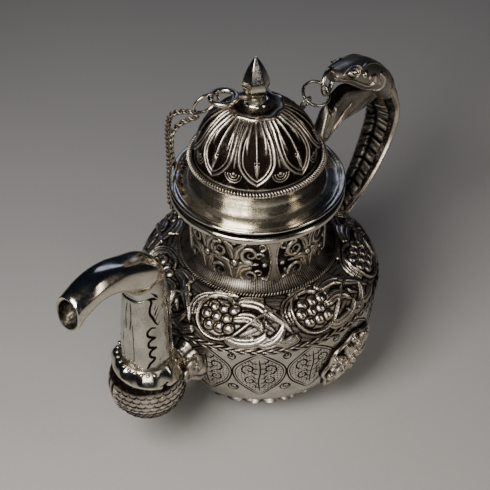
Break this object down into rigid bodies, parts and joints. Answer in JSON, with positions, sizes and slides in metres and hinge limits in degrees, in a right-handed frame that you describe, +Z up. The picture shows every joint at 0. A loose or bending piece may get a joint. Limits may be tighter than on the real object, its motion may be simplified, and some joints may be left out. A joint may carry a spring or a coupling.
{
  "type": "coffee pot",
  "caption": "Small chased silver pot with a domed lift-off lid on a chain, a beast-mouth spout and a dragon handle.",
  "frame": {"origin": "centre of the foot on the table", "axes": "+Z up, +X towards the spout, -X towards the handle"},
  "size_m": [0.1482, 0.0796, 0.1146],
  "materials": {
    "polished_silver": "sterling silver, hand polished, lightly toned",
    "oxidised_silver": "sterling silver, chased in relief, oxidised black in the recesses",
    "satin_silver": "sterling silver, satin ground with engraved foliage",
    "chain_silver": "silver curb chain, worn"
  },
  "bodies": {
    "pot": {"bowl": "satin_silver", "bowl_lower": "satin_silver", "bowl_floor": "satin_silver", "foot_ring": "polished_silver", "shoulder": "oxidised_silver", "girdle_wire_upper": "oxidised_silver", "girdle_wire_lower": "oxidised_silver", "neck": "oxidised_silver", "neck_cove": "oxidised_silver", "neck_rope": "oxidised_silver", "neck_rim": "polished_silver", "medallion_left": "oxidised_silver", "medallion_right": "oxidised_silver", "spout_collar": "oxidised_silver", "spout_throat": "oxidised_silver", "spout_lip": "oxidised_silver", "spout_column": "satin_silver", "spout_trunk": "polished_silver", "spout_fin": "oxidised_silver", "spout_curl_left": "oxidised_silver", "spout_curl_right": "oxidised_silver", "handle_strap": "oxidised_silver", "handle_belly": "oxidised_silver", "handle_boss": "oxidised_silver", "handle_head": "oxidised_silver", "handle_jaw": "oxidised_silver", "handle_eye_left": "oxidised_silver", "handle_eye_right": "oxidised_silver", "handle_ear_left": "oxidised_silver", "handle_ear_right": "oxidised_silver", "nose_ring": "polished_silver", "chain_inner": "chain_silver", "chain_outer": "chain_silver"},
    "lid": {"lid_flange": "polished_silver", "lid_skirt": "polished_silver", "lid_wall": "oxidised_silver", "lid_rope": "oxidised_silver", "lid_dome": "oxidised_silver", "lid_ruff": "oxidised_silver", "lid_washer": "polished_silver", "finial_collar": "oxidised_silver", "finial_stem": "polished_silver", "finial_bud": "polished_silver", "finial_loop": "polished_silver", "finial_solder": "polished_silver"},
    "finial_link": {"finial_link": "polished_silver"},
    "handle_ring": {"handle_ring": "polished_silver"},
    "handle_link": {"handle_link": "polished_silver"}
  },
  "joints": [
    {"name": "lid_lift", "type": "slide", "parent": "pot", "child": "lid", "axis": [0, 0, 1], "range_m": [0, 0.009], "deforming": ["chain_inner", "chain_outer"]},
    {"name": "finial_link_swing", "type": "hinge", "parent": "lid", "child": "finial_link", "pos_m": [0.00839, -0.01, 0.1013], "axis": [0.766, 0.6428, 0], "range_deg": [-12, 0], "deforming": ["chain_inner", "chain_outer"]},
    {"name": "handle_ring_swing", "type": "hinge", "parent": "pot", "child": "handle_ring", "pos_m": [-0.03051, 0.00087, 0.08846], "axis": [0, 1, 0], "range_deg": [-10, 10], "deforming": ["chain_inner", "chain_outer"]},
    {"name": "handle_link_swing", "type": "hinge", "parent": "handle_ring", "child": "handle_link", "pos_m": [-0.02351, 0.00017, 0.08776], "axis": [0, 1, 0], "range_deg": [-12, 12], "deforming": ["chain_inner", "chain_outer"]}
  ]
}
